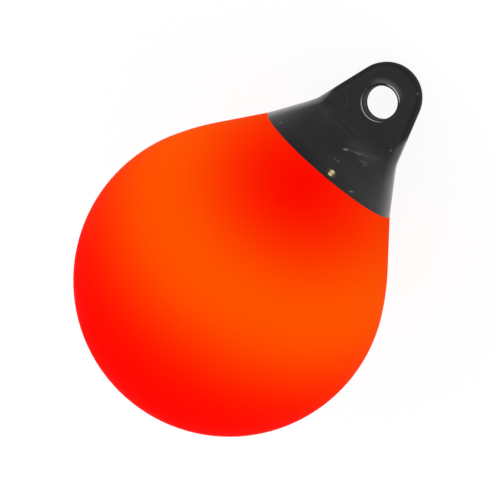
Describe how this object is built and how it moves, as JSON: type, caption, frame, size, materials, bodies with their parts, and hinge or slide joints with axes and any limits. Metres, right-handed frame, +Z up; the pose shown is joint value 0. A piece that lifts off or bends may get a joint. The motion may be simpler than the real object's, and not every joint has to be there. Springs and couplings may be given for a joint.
{
  "type": "inflatable fishing net float",
  "caption": "Inflatable vinyl ball float with a moulded rope eye and a slotted inflation plug, for holding up a fishing net's head line.",
  "frame": {"origin": "middle of the bounding box on the floor; the float lies at rest on its ball and on the tip of the rope eye", "axes": "+Z up, +X from the ball towards the rope eye, +Y across; the object's own axis lies in the XZ plane and dips towards the eye"},
  "size_m": [0.3544, 0.28, 0.2801],
  "materials": {
    "orange_vinyl": "satin moulded vinyl",
    "black_vinyl": "glossy moulded vinyl",
    "black_nylon": "matt moulded nylon",
    "valve_brass": "turned brass"
  },
  "bodies": {
    "root": {"float_shell": "orange_vinyl", "rope_eye": "black_vinyl", "valve_insert": "black_nylon", "valve_screw": "valve_brass"}
  },
  "joints": []
}
